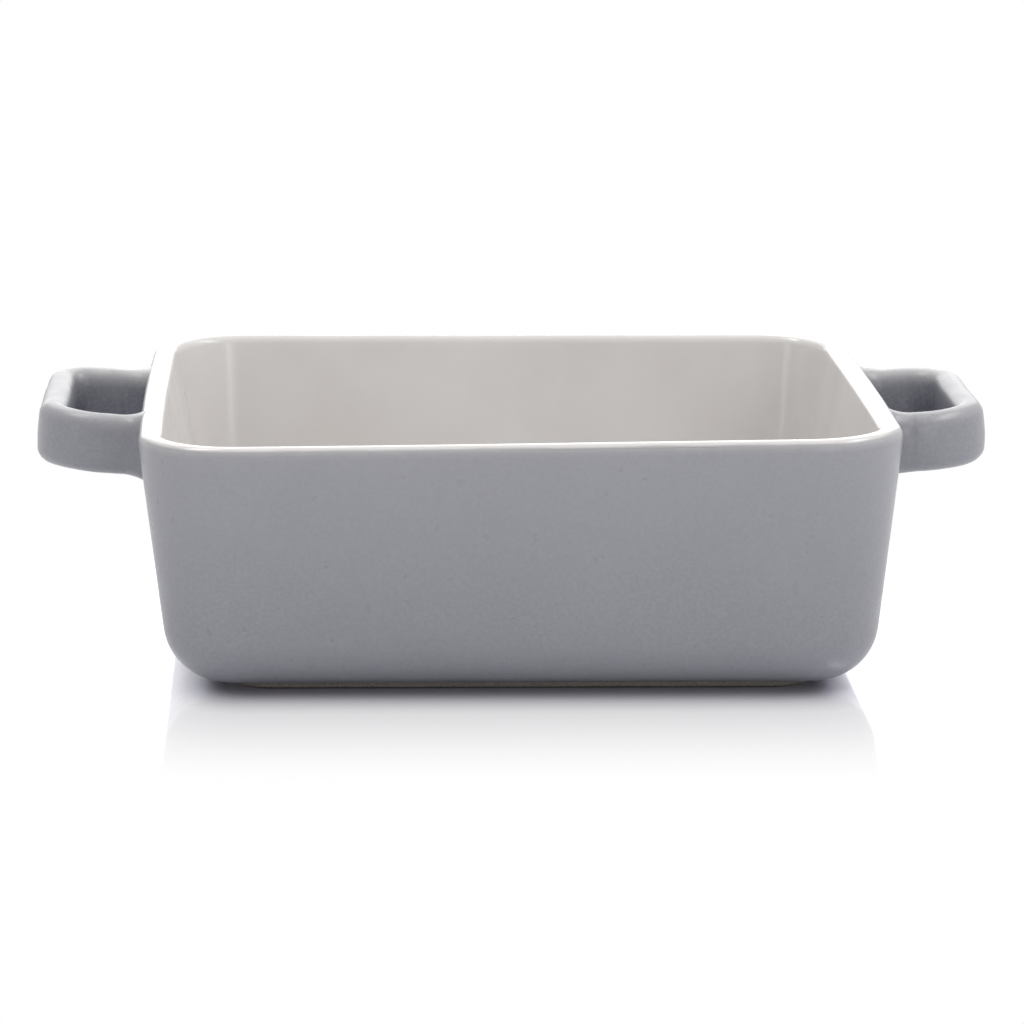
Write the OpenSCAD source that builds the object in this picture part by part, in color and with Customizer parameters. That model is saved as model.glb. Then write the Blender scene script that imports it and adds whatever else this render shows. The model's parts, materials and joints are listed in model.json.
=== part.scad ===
// Stoneware baking dish: a deep rounded rectangular tub with a loop handle on each short side.
// The dish stands on z = 0 with the middle of its foot ring at the origin.
// X runs along the long side from handle to handle, the front is -Y, and Z points up.
// One wall section is swept round the rounded rectangle, so clay and glaze follow each other exactly.

/* [Dish] */
// Length over the rim along X, without the handles
rim_length = 212; // [190:1:260]
// Depth over the rim along Y
rim_depth = 190; // [160:1:240]
// Height from the table to the top of the rim
dish_height = 73; // [62:1:88]
// Corner radius of the rim seen from above
corner_radius = 27; // [25:0.5:40]
// Lean of the outside of the wall away from upright, in degrees
wall_draft = 6.5; // [4:0.5:8]
// Lean of the inside of the wall, larger so that the wall thickens towards the floor, in degrees
inner_draft = 10; // [6.5:0.5:12]
// Thickness of the wall with its glaze, at the rim
wall_thick = 7; // [5.8:0.1:8]
// Thickness of the floor with its glaze
floor_thick = 7.5; // [5:0.5:10]
// Radius where the outside of the wall turns into the underside
base_radius = 17; // [10:0.5:18]
// Radius where the inside of the wall turns into the floor, as far as the corners leave room
floor_radius = 10.5; // [6:0.5:14]
// Radius of the rolled edges of the rim
rim_radius = 2.9; // [2:0.1:3.2]

/* [Foot] */
// Height of the bare foot ring below the underside
foot_height = 1.6; // [1:0.1:3]
// Width of the foot ring
foot_width = 5; // [3:0.5:8]
// Distance of the foot ring from the edge of the flat underside
foot_inset = 1.5; // [1:0.5:5]
// Corner radius of the foot ring seen from above
foot_corner = 12; // [10:0.5:20]
// Radius of the wiped lower edges of the foot ring
foot_edge = 0.8; // [0.3:0.1:1]

/* [Handles] */
// Reach of each handle beyond the rim
handle_reach = 29.5; // [26:0.5:40]
// Distance between the two legs of a handle, middle to middle, where they meet the rim line
handle_spread = 74; // [64:1:90]
// Radius of the strap's middle line at the outer corners
handle_corner = 15; // [12:0.5:18]
// Angle by which each leg leans towards the other, in degrees
leg_lean = 5; // [0:1:14]
// Upward tilt of the whole loop, in degrees
handle_tilt = 3.5; // [0:0.5:8]
// Height of the strap
strap_height = 17; // [13:0.5:22]
// Thickness of the strap
strap_thick = 8.2; // [8:0.1:10]
// Radius of the strap's full outer edges
strap_edge_out = 5; // [2:0.1:5]
// Radius of the strap's tighter edges towards the finger gap
strap_edge_in = 3; // [1.5:0.1:3]
// Distance of the strap's top below the rim, at the rim line
handle_drop = 3.2; // [3:0.1:10]
// How far each leg flares out on every side where it is luted to the wall
flare_spread = 1.6; // [0.5:0.1:2]
// How much further it flares towards the finger gap
flare_in = 4; // [0:0.5:6]
// Length of the flare along the leg
flare_reach = 8; // [3:0.5:9]

/* [Glaze] */
// Thickness of the glaze coats
glaze_thick = 0.5; // [0.3:0.05:0.7]
// How far the white glaze comes down outside the rim
glaze_wrap = 0.8; // [0.6:0.1:2]

/* [Hidden] */

// Overrun of every cut past the solid that it cuts
overrun = 1;
// Grid to which the foot's runs are rounded, so that its corners and straights meet exactly
grid = 0.02;
function on_grid(length) = grid * round(length / grid);

// Facets of the turned corners in a full turn, and steps along each arc
sweep_fn = 28;
arc_steps = 6;
edge_steps = 3;

// Straight runs of the rim between its corner centres
run_x = rim_length - 2 * corner_radius;
run_y = rim_depth - 2 * corner_radius;

// Heights of the underside of the tub and of its floor
base_z = foot_height;
floor_z = foot_height + floor_thick;

// Centres of the section's arcs, measured outwards from a corner's axis and up from the table
rim_z = dish_height - rim_radius;
rim_out = [corner_radius - rim_radius, rim_z];
rim_in = [corner_radius - wall_thick + rim_radius, rim_z];
base_arc_z = base_z + base_radius;
base_arc_x = rim_out[0]
    + ((base_arc_z - rim_z) * sin(wall_draft) + rim_radius - base_radius) / cos(wall_draft);
base_arc = [base_arc_x, base_arc_z];
floor_room = (rim_in[0] * cos(inner_draft) + (floor_z - rim_z) * sin(inner_draft) - rim_radius)
    / (1 - sin(inner_draft));
floor_turn = min(floor_radius, floor_room);
floor_arc_z = floor_z + floor_turn;
floor_arc_x = rim_in[0]
    + ((floor_arc_z - rim_z) * sin(inner_draft) - rim_radius - floor_turn) / cos(inner_draft);
floor_arc = [floor_arc_x, floor_arc_z];

// Foot ring seen from above, kept inside the flat part of the underside
foot_run_x = on_grid(run_x + 2 * (base_arc_x - foot_inset - foot_corner));
foot_run_y = on_grid(run_y + 2 * (base_arc_x - foot_inset - foot_corner));

// Middle line of the strap in the handle's own plan, outwards from the rim line
bar_x = handle_reach - strap_thick / 2;
turn_x = bar_x - handle_corner;
leg_end_x = turn_x + handle_corner * sin(leg_lean);
leg_end_y = handle_spread / 2 - leg_end_x * tan(leg_lean);
turn_y = leg_end_y - handle_corner * cos(leg_lean);

// Height of the strap's middle at the rim line, and the wall's distance inside the rim line there
handle_z = dish_height - handle_drop - strap_height / 2;
wall_in = rim_radius - rim_radius / cos(wall_draft) + (rim_z - handle_z) * tan(wall_draft);

glaze_white = "#f3f2ef";
glaze_grey = "#8f9096";
clay = "#b9ad9f";
bare_clay = "#8d8378";

// Straight part of one leg from the wall to the turn
leg_length = (leg_end_x + wall_in) / cos(leg_lean);

// Polar point, list in reverse, and points along an arc
function polar(radius, angle) = [radius * cos(angle), radius * sin(angle)];
function reverse(list) = [for (i = [len(list) - 1:-1:0]) list[i]];
function arc(centre, radius, a0, a1, steps) =
    [for (i = [0:steps]) centre + polar(radius, a0 + (a1 - a0) * i / steps)];

// Angle on the outer edge of the rim at which the white glaze ends, on a surface inset by some depth
function wrap_angle(inset) = asin((rim_radius - glaze_wrap) / (rim_radius - inset));

// Outside of the tub from the underside up to the end of the white glaze, inset by some depth
function grey_line(inset) = concat(
    [[0, base_z + inset]],
    arc(base_arc, base_radius - inset, -90, -wall_draft, arc_steps),
    arc(rim_out, rim_radius - inset, -wall_draft, wrap_angle(inset), edge_steps)
);

// From the end of the white glaze over the rim
function rim_line(inset) =
    arc(rim_out, rim_radius - inset, wrap_angle(inset), 90, edge_steps);

// Inside of the tub from the rim down to the middle of the floor
function inner_line(inset) = concat(
    arc(rim_in, rim_radius - inset, 90, 180 - inner_draft, arc_steps),
    arc(floor_arc, floor_turn + inset, -inner_draft, -90, arc_steps),
    [[0, floor_z - inset]]
);

// The same list without its first point, so that lines join without a doubled point
function after_first(list) = [for (i = [1:len(list) - 1]) list[i]];

// Sweep of a section, drawn outwards from the corner axis, round a rectangle of straight runs.
// Quarter turns stand at the corners and straight lengths between them.
module sweep(along, across) {
    for (sx = [0, 1], sy = [0, 1])
        mirror([sx, 0, 0])
            mirror([0, sy, 0])
                translate([along / 2, across / 2, 0])
                    rotate_extrude(angle = 90, $fn = sweep_fn)
                        children();
    for (sy = [0, 1])
        mirror([0, sy, 0])
            translate([-along / 2, across / 2, 0])
                rotate([90, 0, 90])
                    linear_extrude(height = along)
                        children();
    for (sx = [0, 1])
        mirror([sx, 0, 0])
            translate([along / 2, across / 2, 0])
                rotate([90, 0, 0])
                    linear_extrude(height = across)
                        children();
}

// Flat middle between the corner axes of a sweep
module middle_slab(along, across, z, thick) {
    translate([-along / 2, -across / 2, z])
        cube([along, across, thick]);
}

// Floor, wall and rolled rim in section, every face inset by the same depth
module tub_section(inset) {
    polygon(concat(grey_line(inset), after_first(rim_line(inset)), inner_line(inset)));
}

// The same outside, filled up to the rim
module filled_section(inset) {
    polygon(concat(grey_line(inset), after_first(rim_line(inset)), [[0, dish_height - inset]]));
}

// White coat: floor and wall inside, and over the rim down to its wrap
module white_section() {
    polygon(concat(
        rim_line(0),
        inner_line(0),
        reverse(inner_line(glaze_thick)),
        reverse(rim_line(glaze_thick))
    ));
}

// Grey coat: outside of the wall and the turned base
module grey_section() {
    polygon(concat(grey_line(0), reverse(grey_line(glaze_thick))));
}

// Short wall on the +X side, filled, for trimming the handles to its face
module short_wall(inset) {
    translate([run_x / 2, run_y / 2, 0])
        rotate([90, 0, 0])
            linear_extrude(height = run_y)
                filled_section(inset);
}

// Section of the strap: points across its thickness, outwards first, and up.
// It grows by some amount on every side, and by a further amount towards the finger gap.
function strap_points(grow, inward) =
    let (
        x_out = strap_thick / 2 - strap_edge_out,
        x_in = strap_edge_in - strap_thick / 2 - inward,
        y_out = strap_height / 2 - strap_edge_out,
        y_in = strap_height / 2 - strap_edge_in,
        r_out = strap_edge_out + grow,
        r_in = strap_edge_in + grow
    )
    concat(
        arc([x_out, y_out], r_out, 0, 90, edge_steps),
        arc([x_in, y_in], r_in, 90, 180, edge_steps),
        arc([x_in, -y_in], r_in, 180, 270, edge_steps),
        arc([x_out, -y_out], r_out, 270, 360, edge_steps)
    );

// Station along one leg at a share of the flare from the wall: place, heading, flare and slant.
// The slant share turns the section from square on the leg to flush with the drafted wall.
function leg_station(distance, share) =
    let (x = distance * cos(leg_lean) - wall_in)
    [x, x * tan(leg_lean) - handle_spread / 2, leg_lean, pow(1 - share, 2), 1 - share];

// Station on the turn from leg to end bar
function turn_station(angle) =
    let (p = [turn_x, -turn_y] + polar(handle_corner, angle))
    [p[0], p[1], angle + 90, 0, 0];

flare_steps = 4;
turn_steps = 6;
half_loop = concat(
    [leg_station(-wall_thick / 2, 0)],
    [for (i = [0:flare_steps]) leg_station(flare_reach * i / flare_steps, i / flare_steps)],
    [for (i = [0:turn_steps]) turn_station((leg_lean - 90) * (1 - i / turn_steps))]
);

// Section of the strap at one station, in the handle's own plan
function ring(station, inset) =
    let (heading = station[2], flare = station[3], slant = station[4])
    [for (p = strap_points(flare_spread * flare - inset, flare_in * flare))
        [station[0] + p[0] * sin(heading) * (1 - slant) + p[1] * tan(wall_draft + handle_tilt) * slant,
         station[1] - p[0] * cos(heading),
         p[1]]];

// Rings of one whole loop, leg to leg
function loop_rings(inset) =
    let (first = [for (station = half_loop) ring(station, inset)])
    concat(first, [for (r = reverse(first)) [for (p = r) [p[0], -p[1], p[2]]]]);

// Faces of a tube of rings whose points start at a place in the list, facing out or in
function tube_faces(start, rings, sides, out) =
    [for (i = [0:rings - 2], j = [0:sides - 1])
        let (k = (j + 1) % sides, m = start + i * sides, n = m + sides)
        each out
            ? [[m + j, n + k, n + j], [m + j, m + k, n + k]]
            : [[m + j, n + j, n + k], [m + j, n + k, m + k]]];

// Solid strap in its own plan, every face inset by the same depth
module solid_strap(inset) {
    rings = loop_rings(inset);
    sides = len(rings[0]);
    last = (len(rings) - 1) * sides;
    polyhedron(
        points = [for (r = rings, p = r) p],
        faces = concat(
            [[for (j = [sides - 1:-1:0]) j]],
            tube_faces(0, len(rings), sides, true),
            [[for (j = [0:sides - 1]) last + j]]
        )
    );
}

// Coat of the strap in its own plan, open at both ends
module strap_coat(thick) {
    outer = loop_rings(0);
    inner = loop_rings(thick);
    sides = len(outer[0]);
    inside = len(outer) * sides;
    last = inside - sides;
    polyhedron(
        points = [for (r = concat(outer, inner), p = r) p],
        faces = concat(
            tube_faces(0, len(outer), sides, true),
            tube_faces(inside, len(inner), sides, false),
            [for (j = [0:sides - 1])
                let (k = (j + 1) % sides)
                each [
                    [j, inside + j, inside + k],
                    [j, inside + k, k],
                    [last + j, last + k, inside + last + k],
                    [last + j, inside + last + k, inside + last + j],
                ]]
        )
    );
}

// Place of a loop at the middle of the short wall on the +X side, tilted up from the rim line
module at_handle() {
    translate([rim_length / 2, 0, handle_z])
        rotate([0, -handle_tilt, 0])
            children();
}

// Clay of one loop, joined to the clay of the wall
module loop_clay() {
    difference() {
        at_handle()
            solid_strap(glaze_thick);
        short_wall(glaze_thick);
    }
}

// Glaze of one loop, meeting the glaze of the wall
module loop_glaze() {
    difference() {
        at_handle()
            strap_coat(glaze_thick);
        short_wall(0);
    }
}

// Foot ring in section, from a corner axis outwards, with wiped lower edges
module foot_section() {
    inner = foot_corner - foot_width;
    top = base_z + glaze_thick;
    polygon(concat(
        [[inner, top]],
        arc([inner + foot_edge, foot_edge], foot_edge, 180, 270, edge_steps),
        arc([foot_corner - foot_edge, foot_edge], foot_edge, 270, 360, edge_steps),
        [[foot_corner, top]]
    ));
}

// Area inside the foot ring's plan, taken in by a step, as a slab
module foot_slab(step, z, thick) {
    sweep(foot_run_x, foot_run_y)
        translate([0, z])
            square([foot_corner - step, thick]);
    middle_slab(foot_run_x, foot_run_y, z, thick);
}

module stoneware_body() {
    color(clay) {
        sweep(run_x, run_y)
            tub_section(glaze_thick);
        middle_slab(run_x, run_y, base_z + glaze_thick, floor_thick - 2 * glaze_thick);
    }
}

module foot_ring() {
    color(bare_clay)
        sweep(foot_run_x, foot_run_y)
            foot_section();
}

module right_handle() {
    color(clay)
        loop_clay();
}

module left_handle() {
    color(clay)
        mirror([1, 0, 0])
            loop_clay();
}

module inner_glaze() {
    color(glaze_white) {
        sweep(run_x, run_y)
            white_section();
        middle_slab(run_x, run_y, floor_z - glaze_thick, glaze_thick);
    }
}

module outer_glaze() {
    color(glaze_grey)
        difference() {
            sweep(run_x, run_y)
                grey_section();
            foot_slab(0, base_z - overrun, glaze_thick + 2 * overrun);
            for (s = [0, 1])
                mirror([s, 0, 0])
                    at_handle()
                        solid_strap(glaze_thick);
        }
}

module underside_glaze() {
    color(glaze_grey)
        foot_slab(foot_width, base_z, glaze_thick);
}

module right_handle_glaze() {
    color(glaze_grey)
        loop_glaze();
}

module left_handle_glaze() {
    color(glaze_grey)
        mirror([1, 0, 0])
            loop_glaze();
}

stoneware_body();
foot_ring();
left_handle();
right_handle();
inner_glaze();
outer_glaze();
underside_glaze();
left_handle_glaze();
right_handle_glaze();
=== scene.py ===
"""Stoneware baking dish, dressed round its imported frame.

A section of clay and glaze is swept round a rounded rectangle for the tub, its coats and its
foot ring. Two loop handles are luted to the short walls. Metres throughout, +Z up, front at -Y.
"""

import json
import math

import bmesh
import bpy
import numpy as np
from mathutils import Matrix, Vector, noise
from mathutils.bvhtree import BVHTree

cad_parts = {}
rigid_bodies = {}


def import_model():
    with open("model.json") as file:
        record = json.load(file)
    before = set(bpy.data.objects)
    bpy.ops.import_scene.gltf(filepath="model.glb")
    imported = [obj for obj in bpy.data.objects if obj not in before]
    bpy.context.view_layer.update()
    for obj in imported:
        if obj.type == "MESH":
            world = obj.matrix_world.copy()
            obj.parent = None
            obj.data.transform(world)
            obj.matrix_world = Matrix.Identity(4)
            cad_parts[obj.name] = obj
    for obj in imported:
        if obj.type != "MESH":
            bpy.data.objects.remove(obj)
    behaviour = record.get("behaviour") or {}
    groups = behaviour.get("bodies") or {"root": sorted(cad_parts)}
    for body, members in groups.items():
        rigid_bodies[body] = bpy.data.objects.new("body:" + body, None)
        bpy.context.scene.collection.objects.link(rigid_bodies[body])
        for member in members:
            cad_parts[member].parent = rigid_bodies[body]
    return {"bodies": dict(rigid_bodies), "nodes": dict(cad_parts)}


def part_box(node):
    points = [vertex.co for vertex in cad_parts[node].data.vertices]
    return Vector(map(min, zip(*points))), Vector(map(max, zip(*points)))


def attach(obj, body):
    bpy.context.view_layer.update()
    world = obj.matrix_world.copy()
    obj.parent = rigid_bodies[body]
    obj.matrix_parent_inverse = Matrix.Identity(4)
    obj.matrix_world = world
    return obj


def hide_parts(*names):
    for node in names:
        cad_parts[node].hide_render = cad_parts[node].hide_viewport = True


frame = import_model()
kept = {*frame["nodes"].values(), *frame["bodies"].values()}

bl_info = {
    "name": "Stoneware Baking Dish",
    "version": (1, 0, 0),
    "blender": (4, 5, 0),
    "location": "View3D > Sidebar > Baking Dish",
    "description": "Builds a glazed stoneware baking dish with two loop handles",
    "category": "Add Mesh",
}

MM = 0.001
BODY = "root"
SHARP_ANGLE = 50  # degrees past which an edge stays sharp
THIN_SHARE = 0.42  # how much of the white shows through the grey where the two coats meet
THIN_POWER = 1.3  # how fast that dies away below the lap

# Steps of the tub's section, from the underside over the rim to the floor, and of its path
BASE_STEPS = 16
WALL_STEPS = 14
OUTER_RIM_STEPS = 8
RIM_STEPS = 12
INNER_RIM_STEPS = 10
FLOOR_STEPS = 14
FOOT_EDGE_STEPS = 5
FOOT_FACE_STEPS = 4
CORNER_STEPS = 22
SIDE_STEP = 2.9 * MM
FOOT_SIDE_STEP = 3 * MM
UNDERSIDE_STEP = 4 * MM

# Where the tub's sections end, measured outwards from a corner axis
MIDDLE_RADIUS = 1 * MM  # the flat middle of the floor and underside takes over here
UNDER_FOOT_RADIUS = 2.6 * MM  # the grey coat's end, before it is moved under the foot ring
MERGE_DISTANCE = 0.002 * MM

# Steps of a loop: a rounded edge of the strap, the flare of a root, the leg and the turn to the bar
EDGE_STEPS = 6
NARROW_FACE_STEPS = 2
WIDE_FACE_STEPS = 5
FLARE_STEPS = 9
LEG_STEPS = 5
TURN_STEPS = 14
LUMP_RINGS = 12  # rings over which the lumps grow from a root
POOL_AND_SHADE_RINGS = 10  # rings over which the thick glaze and painted shade at a root die away
ROOT_SINK = 0.05 * MM  # how far a root sinks into the tub's glaze
WALL_BACK = 3 * MM  # about how far the wall lies behind the rim line at a leg

# The photograph's camera: its place in metres, its lens and sensor in millimetres, and its turns
CAMERA_PLACE = (-0.05934, -1.3506, 0.30717)
CAMERA_LENS, CAMERA_SENSOR = 166.06, 36.0
CAMERA_TILT, CAMERA_ROLL, CAMERA_TURN = 0.19826, 0.00702, 0.04237
FLOOR_REACH = 4.0  # metres from the dish to each edge of the floor

# The material that each of the record's slots takes
FINISH_OF_SLOT = {
    "fired_clay": "fired_clay",
    "bare_foot": "bare_foot_clay",
    "white_glaze": "white_gloss_glaze",
    "grey_glaze": "grey_satin_glaze",
}

# The tub's outside and the foot are read from the frame, so that the pieces stay where they are
tub_low, tub_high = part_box("outer_glaze")
lining_low, lining_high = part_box("inner_glaze")
foot_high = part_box("foot_ring")[1]
loop_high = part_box("right_handle_glaze")[1]


def length(name, text, default, low=0.0):
    """A length property in metres."""
    return bpy.props.FloatProperty(
        name=name, description=text, default=default, min=low, unit="LENGTH", subtype="DISTANCE",
        precision=5,
    )


def angle(name, text, degrees):
    """An angle property, given in degrees and kept in radians."""
    return bpy.props.FloatProperty(
        name=name, description=text, default=math.radians(degrees), unit="ROTATION",
        subtype="ANGLE",
    )


def colour(name, text, default):
    """A linear colour property."""
    return bpy.props.FloatVectorProperty(
        name=name, description=text, default=default, size=3, min=0.0, max=1.0, subtype="COLOR",
    )


def number(name, text, default, low=0.0):
    """A plain number property."""
    return bpy.props.FloatProperty(name=name, description=text, default=default, min=low)


class DishSizes(bpy.types.PropertyGroup):
    """Sizes of the tub and its foot."""

    rim_length: length("Rim length", "Length over the rim", tub_high.x - tub_low.x)
    rim_depth: length("Rim depth", "Depth over the rim", tub_high.y - tub_low.y)
    lift: length("Lift", "How much taller than drawn the foot ring stands", 0.7 * MM)
    height: length("Height", "Table to the top of the rim", lining_high.z)
    corner: length("Corner radius", "Corner radius of the rim seen from above", 27 * MM)
    draft: angle("Wall draft", "Lean of the wall's outside away from upright", 6.9)
    inner_draft: angle("Inner draft", "Lean of the wall's inside away from upright", 10)
    wall: length("Wall", "Thickness of the wall with its glaze, at the rim", 7 * MM)
    base_radius: length("Base radius", "Turn from the wall to the underside", 16.4 * MM)
    floor_radius: length("Floor radius", "Turn from the wall to the floor inside", 10.5 * MM)
    rim_radius: length("Rim radius", "Radius of the rim's rolled edges", 2.9 * MM)
    hollow: length("Hollow", "How far the wall's section is drawn in at half height", 0.1 * MM)
    foot_inset: length("Foot inset", "Foot ring inside the edge of the flat underside", 1.5 * MM)
    foot_width: length("Foot width", "Width of the foot ring", 5 * MM)
    foot_corner: length("Foot corner", "Corner radius of the foot ring", 12 * MM)
    foot_edge: length("Foot edge", "Radius of the foot's wiped edges", 0.5 * MM)
    glaze: length("Glaze", "Thickness of the glaze coats", 0.5 * MM)
    wrap: length("Wrap", "How far the white glaze comes down outside the rim", 0.6 * MM)


class StrapSizes(bpy.types.PropertyGroup):
    """Sizes of the strap that both loop handles are bent from, and of its roots on the wall."""

    height: length("Strap height", "Height of the strap", 17 * MM)
    thick: length("Strap thickness", "Thickness of the strap", 8.3 * MM)
    edge_out: length("Outer edge", "Radius of the strap's full outer edges", 5.2 * MM)
    edge_in: length("Inner edge", "Radius of the strap's edges towards the finger gap", 2.8 * MM)
    crown: number("Crown", "Swelling of each face of the strap, as a share of its width", 0.03)
    root: length("Root", "Length of the flare where a leg meets the wall", 9 * MM)
    root_in: length("Root inside", "Growth of the root towards the finger gap", 6.5 * MM)
    root_out: length("Root outside", "Growth of the root away from the finger gap", 2.6 * MM)
    root_up: length("Root top", "Growth of the root upwards", 1.7 * MM)
    root_down: length("Root bottom", "Growth of the root downwards", 2.8 * MM)


class LoopPlan(bpy.types.PropertyGroup):
    """Plan of one loop handle. Each loop is bent and luted by hand, so the two differ a little."""

    reach: length("Reach", "Reach of the handle beyond the rim", loop_high.x - tub_high.x)
    spread: length("Spread", "Distance between the legs at the rim line", 74 * MM)
    shift: length("Shift", "Shift of the whole loop towards the back", 0.0, -5 * MM)
    front_corner: length("Front corner", "Middle line's radius at the front turn", 15 * MM)
    back_corner: length("Back corner", "Middle line's radius at the back turn", 15 * MM)
    front_lean: angle("Front lean", "Angle by which the front leg leans to the back one", 5)
    back_lean: angle("Back lean", "Angle by which the back leg leans to the front one", 5)
    drop: length("Drop", "Strap's top below the rim, at the rim line", 3 * MM)
    tilt: angle("Tilt", "Upward tilt of the loop", 3.5)


# How each loop came out of the hand, where it isn't as drawn
LEFT_LOOP = {
    "reach": 30.7 * MM,
    "spread": 74.5 * MM,
    "shift": 0.1 * MM,
    "front_corner": 16.7 * MM,
    "back_corner": 8 * MM,
    "front_lean": math.radians(5.4),
    "back_lean": math.radians(-3.5),
    "drop": 2.5 * MM,
    "tilt": math.radians(3.6),
}
RIGHT_LOOP = {
    "reach": 28.6 * MM,
    "spread": 73.5 * MM,
    "shift": -1.2 * MM,
    "front_corner": 17.5 * MM,
    "back_corner": 12.3 * MM,
    "front_lean": math.radians(0),
    "back_lean": math.radians(4.3),
    "drop": 1.7 * MM,
    "tilt": math.radians(3.3),
}


class HandMarks(bpy.types.PropertyGroup):
    """Small departures from the drawn shape that throwing, luting and firing leave."""

    tilt: length("Tilt", "Rise of the rim's right side and drop of its left", 0.74 * MM)
    lean: length("Lean", "Shift of the rim to the left of the foot", 0.65 * MM)
    twist: length("Twist", "Rise of one rim corner and drop of the next, each way", 0.68 * MM)
    sag: length("Sag", "Drop of the rim at the middle of the long sides", 0.1 * MM)
    back_rise: length("Back rise", "Rise of the whole back rim", 0.25 * MM)
    long_bow: length("Long bow", "Outward bow of the long walls at the middle", 0.6 * MM)
    short_bow: length("Short bow", "Outward bow of the short walls' rim at the middle", 0.5 * MM)
    pinch: length("Pinch", "How far the short walls' rim runs in towards the corners", 1.6 * MM)
    wall_wave: length("Wall wave", "Depth of the soft waves in the tub", 0.07 * MM)
    wave_size: length("Wave size", "Length of the soft waves", 38 * MM)
    foot_wave: length("Foot wave", "Depth of the wiping marks on the foot ring", 0.05 * MM)
    foot_wave_size: length("Foot wave size", "Length of the wiping marks", 12 * MM)
    strap_wave: length("Strap wave", "Depth of the soft lumps in the straps", 0.28 * MM)
    strap_wave_size: length("Strap wave size", "Length of the soft lumps", 13 * MM)
    luting: length("Luting marks", "Depth of the finger marks where a loop is luted on", 0.3 * MM)
    luting_size: length("Luting mark size", "Length of the finger marks", 5 * MM)
    seed: bpy.props.IntProperty(name="Seed", description="Seed of the waves", default=7)


class Finishes(bpy.types.PropertyGroup):
    """Colours of glaze, clay and stage."""

    grey: colour("Grey glaze", "Satin glaze outside", (0.325, 0.329, 0.349))
    # The thick grey is also the colour of the painted shade in the handles' finger gaps and roots,
    # low on the walls and in the crease above the foot ring
    grey_deep_and_shade: colour("Thick grey glaze", "Where the satin glaze pools", (0.115, 0.118, 0.148))
    grey_thin: colour("Thin grey glaze", "Where it breaks over edges", (0.43, 0.43, 0.445))
    white: colour("White glaze", "Gloss glaze inside", (0.708, 0.688, 0.674))
    white_deep: colour("Warm white glaze", "Where the clay warms the white", (0.672, 0.645, 0.627))
    clay: colour("Clay", "Fired clay under the glaze", (0.47, 0.41, 0.34))
    foot: colour("Bare foot", "Wiped clay of the foot ring", (0.38, 0.35, 0.32))
    foot_dark: colour("Bare foot, dark", "Grains and marks on the foot ring", (0.25, 0.225, 0.20))
    floor: colour("Floor", "Pale floor under the dish", (0.80, 0.79, 0.86))


class StageLevels(bpy.types.PropertyGroup):
    """Light of the studio."""

    sky: number("Sky", "Strength of the even light all round", 0.79)
    room: number("Room", "Brightness of the room in front, as the glaze mirrors it", 0.4)
    top: number("Top lamp", "Power of the soft lamp overhead", 0.9)
    right_strip: number("Right strip", "Power of the tall lamp in front on the right", 2.0)
    left_strip: number("Left strip", "Power of the tall lamp in front on the left", 1.55)
    back: number("Back lamp", "Power of the tall soft lamp behind the dish", 7.6)
    right: number("Right lamp", "Power of the soft lamp on the right", 1.3)
    right_glint: number("Right glint", "Power of the small lamp high on the right", 3.3)
    left_glint: number("Left glint", "Power of the small lamp high behind on the left", 2.0)


# Small helpers


def link_object(name, mesh):
    """A new object at the origin with this mesh."""
    piece = bpy.data.objects.new(name, mesh)
    bpy.context.scene.collection.objects.link(piece)
    return piece


def arc(centre, radius, first, last, steps):
    """Points along an arc in degrees, as (outwards, up)."""
    turns = [math.radians(first + (last - first) * i / steps) for i in range(steps + 1)]
    return [(centre[0] + radius * math.cos(t), centre[1] + radius * math.sin(t)) for t in turns]


def between(start, end, steps):
    """Points strictly between two points."""
    return [
        tuple(a + (b - a) * i / steps for a, b in zip(start, end)) for i in range(1, steps)
    ]


def smooth(mesh):
    """Smooth faces, with sharp edges kept sharp."""
    mesh.shade_smooth()
    bm = bmesh.new()
    bm.from_mesh(mesh)
    limit = math.radians(SHARP_ANGLE)
    for edge in bm.edges:
        edge.smooth = not edge.is_manifold or edge.calc_face_angle() < limit
    bm.to_mesh(mesh)
    bm.free()


def closed_volume(mesh):
    """Signed volume of a closed mesh, positive when its faces point outwards."""
    bm = bmesh.new()
    bm.from_mesh(mesh)
    open_edges = sum(1 for edge in bm.edges if not edge.is_manifold)
    volume = bm.calc_volume(signed=True)
    bm.free()
    if open_edges:
        raise RuntimeError(f"{mesh.name} has {open_edges} open edges")
    return volume


def finish_piece(piece, nodes):
    """Checks that a piece is closed and faces outwards, and puts it on the frame."""
    if closed_volume(piece.data) < 0:
        piece.data.flip_normals()
    smooth(piece.data)
    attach(piece, BODY)
    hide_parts(*nodes)


# Section of the tub


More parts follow.
